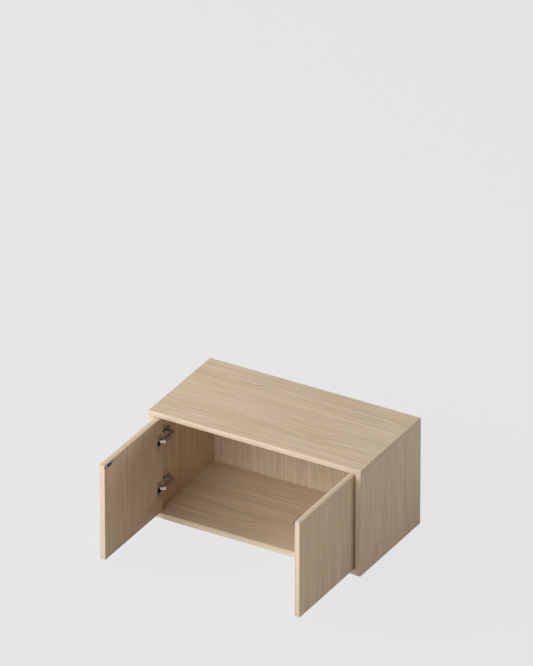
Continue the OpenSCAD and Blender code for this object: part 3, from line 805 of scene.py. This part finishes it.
def softened(name, width, materials, segments=2, choose=None, weigh=None):
    """A bevelled copy of a CAD node, width in millimetres.

    choose(face) gives a face's material number, and weigh(edge) the share of the width that a
    sharp edge gets.
    """
    mesh = nodes[name].data.copy()
    shape = bmesh.new()
    shape.from_mesh(mesh)
    bmesh.ops.remove_doubles(shape, verts=shape.verts, dist=JOIN_WITHIN)
    bmesh.ops.dissolve_limit(
        shape,
        angle_limit=math.radians(FLAT_WITHIN),
        verts=shape.verts,
        edges=shape.edges,
    )
    shape.normal_update()
    if choose:
        for face in shape.faces:
            face.material_index = choose(face)
    weights = shape.edges.layers.float.new("bevel_weight_edge")
    for edge in shape.edges:
        if edge.is_convex and edge.calc_face_angle(0) > math.radians(SHARP):
            edge[weights] = weigh(edge) if weigh else 1.0
    mesh.materials.clear()
    for material in materials:
        mesh.materials.append(material)
    shape.to_mesh(mesh)
    shape.free()
    piece = bpy.data.objects.new(name + "_finished", mesh)
    bpy.context.scene.collection.objects.link(piece)
    bevel = piece.modifiers.new("soft_edges", "BEVEL")
    bevel.width = width * MM
    bevel.segments = segments
    bevel.limit_method = "WEIGHT"
    bevel.loop_slide = False
    bevel.use_clamp_overlap = True
    return keep_as_mesh(piece, name)


def keep_as_mesh(piece, *names):
    """Applies what a piece's modifiers made, and lets it ride and stand for its CAD nodes."""
    made = bpy.data.meshes.new_from_object(
        piece.evaluated_get(bpy.context.evaluated_depsgraph_get())
    )
    piece.modifiers.clear()
    piece.data = made
    made.shade_smooth()
    made.set_sharp_from_angle(angle=math.radians(CREASE))
    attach(piece, body_of_node[names[0]])
    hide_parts(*names)
    return piece


print("softening ready")

# %% [markdown]
# The boards' broad faces carry the laminate, and all their other faces are raw core. A face is
# broad if it points along the board's thickness, which is the shortest side of its box. A strip's
# faces are told apart in the same way.

# %% Boards and bands
BOARD_EDGE = 0.15
BAND_EDGE = 0.35


def points_along(face, axis):
    return abs(face.normal[axis]) > 0.9


def thickness_axis(name):
    low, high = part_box(name)
    size = high - low
    return min(range(3), key=lambda i: size[i])


for name, material in board_finish.items():
    thin = thickness_axis(name)
    softened(
        name,
        BOARD_EDGE,
        [material, raw_chipboard],
        segments=1,
        choose=lambda face: int(not points_along(face, thin)),
    )
for name, material in band_finish.items():
    if name in second_band:
        axis, second = second_band[name]
        softened(
            name,
            BAND_EDGE,
            [material, second],
            choose=lambda face: int(points_along(face, axis)),
        )
    else:
        softened(name, BAND_EDGE, [material])
print("boards and bands:", len(board_finish) + len(band_finish))

# %% [markdown]
# ## Pressed and moulded parts
# The hinge parts are stamped from sheet: the punch rolls the edges that it enters by and leaves
# the rest nearly square. The cup's flange has the widest roll, because it is drawn down over the
# rim. Rolled edges are what one sees of a hinge from afar, as bright lines. The strike plates are
# cast and the latch parts moulded, which leaves rounder edges than the punch does.

# %% Pressed and moulded parts
ROLLED_EDGES = {
    "hinge_cup": 1.0,
    "hinge_arm": 0.3,
    "mounting_plate": 0.4,
    "outer_link": 0.35,
    "inner_links": 0.2,
    "arm_pins": 0.18,
    "outer_link_pins": 0.15,
    "inner_link_pins": 0.15,
    "strike_plate": 0.6,
    "latch_housing": 0.5,
    "latch_end_cap": 0.5,
    "latch_plunger": 0.4,
}
CUP_FLANGE = 1.2
BEHIND_FLANGE = 1.1 * CUP_FLANGE
PUNCHED_SHARE = 0.15


def soften_cup(name, width, finish):
    """A cup whose walls get the dark metal of painted shade, and whose flange is rolled on its
    outer face only.
    """
    low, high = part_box(name)
    # The flange faces the middle of the cabinet
    outside = high.x if high.x < 0 else low.x

    # Faces behind the flange lie in shade and get the painted shade
    def inside(face):
        return int(abs(face.calc_center_median().x - outside) > BEHIND_FLANGE * MM)

    def rolled(edge):
        on_face = all(abs(v.co.x - outside) < JOIN_WITHIN for v in edge.verts)
        return 1.0 if on_face else PUNCHED_SHARE

    softened(name, width, [finish, painted_shade_metal], 3, choose=inside, weigh=rolled)


for ending, width in ROLLED_EDGES.items():
    for name in nodes:
        if name.endswith(ending):
            finish = finish_of_slot[slot_of_node[name]]
            if ending == "hinge_cup":
                soften_cup(name, width, finish)
            else:
                softened(name, width, [finish], 3)
print("pressed and moulded parts:", len(ROLLED_EDGES), "kinds")

# %% [markdown]
# ## Screws
# Apart from the lock screws of the hinge arms, every screw is one of two shapes: a pan head that
# sits on its plate, or a sunk head that is flush. Both are a cylinder whose radius changes along
# its height, with a cross recess cut in the top and a plain shank below, so one tree of geometry
# nodes makes them all. Its inputs are the sizes and finishes of a screw and the points to fill.

# %% The sizes of a screw
SCREW_SIZES = (
    "Head Diameter",
    "Neck Diameter",
    "Head Height",
    "Head Base",
    "Dome Height",
    "Edge Rounding",
    "Shank Diameter",
    "Shank Length",
    "Recess Width",
)

screw_tree = bpy.data.node_groups.new("recessed_screws", "GeometryNodeTree")
sockets = screw_tree.interface
sockets.new_socket("Points", in_out="INPUT", socket_type="NodeSocketGeometry")
for size in SCREW_SIZES:
    sockets.new_socket(size, in_out="INPUT", socket_type="NodeSocketFloat")
sockets.new_socket("Seed", in_out="INPUT", socket_type="NodeSocketInt")
for finish in ("Finish", "Recess Painted Shade"):
    sockets.new_socket(finish, in_out="INPUT", socket_type="NodeSocketMaterial")
sockets.new_socket("Screws", in_out="OUTPUT", socket_type="NodeSocketGeometry")
given = add(screw_tree, "NodeGroupInput").outputs
print("sizes of a screw:", len(SCREW_SIZES))

# %% [markdown]
# The head starts as a cylinder of height 1 and radius 0.5, whose rings are then moved out to the
# head's width, which may grow from the neck up and draws in towards the top. A pan head also
# rises to a low dome: the middle of its top stays at the head's height, and the rim falls.

# %% The head
HEAD_SIDES = 28

blank = add(
    screw_tree,
    "GeometryNodeMeshCylinder",
    {
        "Vertices": HEAD_SIDES,
        "Side Segments": 5,
        "Fill Segments": 4,
        "Radius": 0.5,
        "Depth": 1.0,
    },
    fill_type="TRIANGLE_FAN",
)
position = add(screw_tree, "GeometryNodeInputPosition")
place = add(screw_tree, "ShaderNodeSeparateXYZ", {0: position}).outputs
# 0 at the bottom and 1 at the top
height = add(screw_tree, "ShaderNodeMath", {0: place["Z"], 1: 0.5}, operation="ADD")
cube = add(screw_tree, "ShaderNodeMath", {0: height, 1: 3.0}, operation="POWER")
lost = add(
    screw_tree, "ShaderNodeMath", {0: cube, 1: given["Edge Rounding"]}, operation="MULTIPLY"
)
kept = add(screw_tree, "ShaderNodeMath", {0: 1.0, 1: lost}, operation="SUBTRACT")
grown = add(
    screw_tree,
    "ShaderNodeMapRange",
    {"Value": height, "To Min": given["Neck Diameter"], "To Max": given["Head Diameter"]},
)
width = add(screw_tree, "ShaderNodeMath", {0: grown, 1: kept}, operation="MULTIPLY")
flat = add(screw_tree, "ShaderNodeCombineXYZ", {"X": place["X"], "Y": place["Y"]})
square = add(screw_tree, "ShaderNodeVectorMath", {0: flat, 1: flat}, operation="DOT_PRODUCT")
# 0 in the middle and -1 at the rim
share = add(
    screw_tree, "ShaderNodeMath", {0: square.outputs["Value"], 1: -4.0}, operation="MULTIPLY"
)
fallen = add(
    screw_tree, "ShaderNodeMath", {0: share, 1: given["Dome Height"]}, operation="MULTIPLY"
)
tall = add(
    screw_tree, "ShaderNodeMath", {0: given["Head Height"], 1: fallen}, operation="ADD"
)
moved = add(
    screw_tree,
    "ShaderNodeCombineXYZ",
    {
        "X": add(screw_tree, "ShaderNodeMath", {0: place["X"], 1: width}, operation="MULTIPLY"),
        "Y": add(screw_tree, "ShaderNodeMath", {0: place["Y"], 1: width}, operation="MULTIPLY"),
        "Z": add(
            screw_tree,
            "ShaderNodeMath",
            {0: height, 1: tall, 2: given["Head Base"]},
            operation="MULTIPLY_ADD",
        ),
    },
)
head = add(screw_tree, "GeometryNodeSetPosition", {"Geometry": blank, "Position": moved})
print("head:", len(screw_tree.nodes), "nodes")

# %% [markdown]
# The cross recess is two crossed bars cut out of the head's top. Its walls lie in shade, so the
# faces of the bars are marked, and the faces that they leave behind get a painted shade later.

# %% The cross recess
BAR_WIDTH_SHARE = 0.3
BAR_DEPTH_SHARE = 1.4

top = add(
    screw_tree,
    "ShaderNodeMath",
    {0: given["Head Base"], 1: given["Head Height"]},
    operation="ADD",
)
thin = add(
    screw_tree,
    "ShaderNodeMath",
    {0: given["Recess Width"], 1: BAR_WIDTH_SHARE},
    operation="MULTIPLY",
)
deep = add(
    screw_tree,
    "ShaderNodeMath",
    {0: given["Head Height"], 1: BAR_DEPTH_SHARE},
    operation="MULTIPLY",
)
at_top = add(screw_tree, "ShaderNodeCombineXYZ", {"Z": top})
for size in ((given["Recess Width"], thin), (thin, given["Recess Width"])):
    box = add(screw_tree, "ShaderNodeCombineXYZ", {"X": size[0], "Y": size[1], "Z": deep})
    bar = add(screw_tree, "GeometryNodeMeshCube", {"Size": box})
    placed = add(screw_tree, "GeometryNodeTransform", {"Geometry": bar, "Translation": at_top})
    marked = add(
        screw_tree,
        "GeometryNodeStoreNamedAttribute",
        {"Geometry": placed, "Name": "recess", "Value": True},
        data_type="BOOLEAN",
        domain="FACE",
    )
    cut = add(screw_tree, "GeometryNodeMeshBoolean", operation="DIFFERENCE", solver="EXACT")
    screw_tree.links.new(head.outputs[0], cut.inputs[0])
    screw_tree.links.new(marked.outputs[0], cut.inputs[1])
    head = cut
print("head with its recess:", len(screw_tree.nodes), "nodes")

# %% [markdown]
# Below the head comes a plain shank that ends in a point. It has no thread, because it is hidden
# in the board.

# %% The shank
SHANK_SIDES = 16
TIP_SHARE = 0.2

radius = add(
    screw_tree, "ShaderNodeMath", {0: given["Shank Diameter"], 1: 0.5}, operation="MULTIPLY"
)
length, tip_length = (
    add(screw_tree, "ShaderNodeMath", {0: given["Shank Length"], 1: share}, operation="MULTIPLY")
    for share in (1 - TIP_SHARE, TIP_SHARE)
)
middle = add(
    screw_tree,
    "ShaderNodeMath",
    {0: length, 1: -0.5, 2: given["Head Base"]},
    operation="MULTIPLY_ADD",
)
shank = add(
    screw_tree,
    "GeometryNodeTransform",
    {
        "Geometry": add(
            screw_tree,
            "GeometryNodeMeshCylinder",
            {"Vertices": SHANK_SIDES, "Radius": radius, "Depth": length},
        ),
        "Translation": add(screw_tree, "ShaderNodeCombineXYZ", {"Z": middle}),
    },
)
lowest = add(
    screw_tree,
    "ShaderNodeMath",
    {0: given["Head Base"], 1: given["Shank Length"]},
    operation="SUBTRACT",
)
tip = add(
    screw_tree,
    "GeometryNodeTransform",
    {
        "Geometry": add(
            screw_tree,
            "GeometryNodeMeshCone",
            {
                "Vertices": SHANK_SIDES,
                "Radius Top": radius,
                "Radius Bottom": 0.0,
                "Depth": tip_length,
            },
        ),
        "Translation": add(screw_tree, "ShaderNodeCombineXYZ", {"Z": lowest}),
    },
)
screw = add(screw_tree, "GeometryNodeJoinGeometry", {0: [head, shank, tip]})
print("whole screw:", len(screw_tree.nodes), "nodes")

# %% [markdown]
# One screw goes on each point, lined up with the way the point faces. Each is also turned by a
# random angle, because nobody stops a driver with the slots straight. At the end the copies are
# made real and get their finishes.

# %% A screw on each point
facing = add(
    screw_tree,
    "GeometryNodeInputNamedAttribute",
    {"Name": "facing"},
    data_type="FLOAT_VECTOR",
)
aligned = add(
    screw_tree, "FunctionNodeAlignRotationToVector", {"Vector": facing.outputs[0]}, axis="Z"
)
chance = add(
    screw_tree,
    "FunctionNodeRandomValue",
    {2: 0.0, 3: math.pi, "Seed": given["Seed"]},
    data_type="FLOAT",
)
spin = add(
    screw_tree,
    "FunctionNodeAxisAngleToRotation",
    {"Axis": (0, 0, 1), "Angle": chance.outputs[1]},
)
turned = add(
    screw_tree, "FunctionNodeRotateRotation", {0: aligned, 1: spin}, rotation_space="LOCAL"
)
placed = add(
    screw_tree,
    "GeometryNodeInstanceOnPoints",
    {"Points": given["Points"], "Instance": screw, "Rotation": turned},
)
real = add(screw_tree, "GeometryNodeRealizeInstances", {0: placed})
painted = add(screw_tree, "GeometryNodeSetMaterial", {0: real, "Material": given["Finish"]})
# The recess walls get the dark metal of painted shade
recess = add(
    screw_tree, "GeometryNodeInputNamedAttribute", {"Name": "recess"}, data_type="BOOLEAN"
)
painted_recess_shade = add(
    screw_tree,
    "GeometryNodeSetMaterial",
    {0: painted, "Selection": recess, "Material": given["Recess Painted Shade"]},
)
add(screw_tree, "NodeGroupOutput", {0: painted_recess_shade})
print("screw tree:", len(screw_tree.nodes), "nodes")

# %% [markdown]
# The CAD's own screws say where each one goes: the box of each solid gives its middle and its
# length. A point is set where the underside of its head comes, and knows the way the screw faces.

# %% Tools for placing screws
def solids_of(name):
    """The low and high corner of each separate solid in a CAD node."""
    shape = bmesh.new()
    shape.from_mesh(nodes[name].data)
    bmesh.ops.remove_doubles(shape, verts=shape.verts, dist=JOIN_WITHIN)
    shape.verts.ensure_lookup_table()
    seen, boxes = set(), []
    for first in shape.verts:
        if first.index in seen:
            continue
        seen.add(first.index)
        island, waiting = [], [first]
        while waiting:
            vert = waiting.pop()
            island.append(vert.co.copy())
            for edge in vert.link_edges:
                other = edge.other_vert(vert)
                if other.index not in seen:
                    seen.add(other.index)
                    waiting.append(other)
        low = Vector(min(p[i] for p in island) for i in range(3))
        high = Vector(max(p[i] for p in island) for i in range(3))
        boxes.append((low, high))
    shape.free()
    return boxes


def points_object(name, places, facings):
    """A mesh of loose points, each of which knows the way it faces."""
    mesh = bpy.data.meshes.new(name)
    mesh.from_pydata(places, [], [])
    attribute = mesh.attributes.new("facing", "FLOAT_VECTOR", "POINT")
    for item, facing in zip(attribute.data, facings):
        item.vector = facing
    piece = bpy.data.objects.new(name, mesh)
    bpy.context.scene.collection.objects.link(piece)
    return piece


def run_tree(piece, tree, settings):
    """Hangs a tree on a piece and sets its named inputs by their identifiers."""
    modifier = piece.modifiers.new(tree.name, "NODES")
    modifier.node_group = tree
    for socket in tree.interface.items_tree:
        if socket.in_out == "INPUT" and socket.name in settings:
            modifier[socket.identifier] = settings[socket.name]


print("screws in the back:", len(solids_of("back_screws")))

# %% [markdown]
# The screws of the back board are sunk in it. The others sit with pan heads on the cups, the
# mounting plates, the strike plates and the latches. Only the way each group faces, and its
# sizes, are told here.

# %% Put the screws in
DOME_HEIGHT = 0.7
RECESS_SHARE = 0.6
EDGE_ROUNDING = 0.25


def set_screws(
    node, facing, head, shank, length, seed, head_height=2.0, sunk=False, finish="nickel_plate"
):
    """Screws on every solid of a CAD node, heads towards facing. Sizes are in millimetres."""
    facing = Vector(facing).normalized()
    seats = []
    for low, high in solids_of(node):
        middle, size = (low + high) / 2, high - low
        reach = sum(abs(facing[i]) * size[i] for i in range(3)) / 2
        top = middle + facing * reach
        seats.append(top if sunk else top - facing * head_height * MM)
    piece = points_object(node + "_finished", seats, [facing] * len(seats))
    settings = {
        "Head Diameter": head * MM,
        "Neck Diameter": (shank if sunk else head) * MM,
        "Head Height": head_height * MM,
        "Head Base": -head_height * MM if sunk else 0.0,
        "Dome Height": 0.0 if sunk else DOME_HEIGHT * MM,
        "Edge Rounding": 0.0 if sunk else EDGE_ROUNDING,
        "Shank Diameter": shank * MM,
        "Shank Length": (length - (head_height if sunk else 0)) * MM,
        "Recess Width": head * RECESS_SHARE * MM,
        "Seed": seed,
        "Finish": finish_of_slot[finish],
        # The recess walls get painted shade
        "Recess Painted Shade": painted_shade_metal,
    }
    run_tree(piece, screw_tree, settings)
    return keep_as_mesh(piece, node)


set_screws("back_screws", Y, 7.0, 3.5, 25, seed=3, head_height=2.2, sunk=True)
for side, sign in SIDES.items():
    inward = (-sign, 0, 0)
    set_screws(side + "_cup_screws", inward, 7.0, 3.5, 12, seed=5, finish="hinge_steel")
    set_screws(side + "_plate_screws", inward, 7.5, 5.0, 14, seed=8)
    set_screws(side + "_strike_screws", inward, 7.0, 3.5, 14, seed=13, finish="bright_zinc")
    set_screws(side + "_latch_screws", (0, 0, -1), 6.0, 3.5, 15, seed=21)
print("screws set")

# %% [markdown]
# ## Latch springs
# A push latch's spring gets shorter as the plunger goes in: its rear end stays on the cap and its
# front end keeps touching the plunger. Here a copy of each spring stands for it, with the finish
# of its slot, and rides with its body; it keeps its length.

# %% A copy of each latch spring
for side in SIDES:
    name, joint = side + "_latch_spring", side + "_latch_slide"
    piece = bpy.data.objects.new(name + "_finished", nodes[name].data.copy())
    bpy.context.scene.collection.objects.link(piece)
    piece.data.materials.clear()
    piece.data.materials.append(finish_of_slot[slot_of_node[name]])
    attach(piece, body_of_node[name])
    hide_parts(name)
    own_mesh(piece)

# %% [markdown]
# ## The rest
# What is left needs no new shape: the dowels and the lock screws of the hinge arms keep the
# computed one, and get the finish of their slot.

# %% Everything that is left gets its slot's finish
for name, node in nodes.items():
    if not node.hide_render:
        node.data.materials.clear()
        node.data.materials.append(finish_of_slot[slot_of_node[name]])
        print("kept as it is:", name)
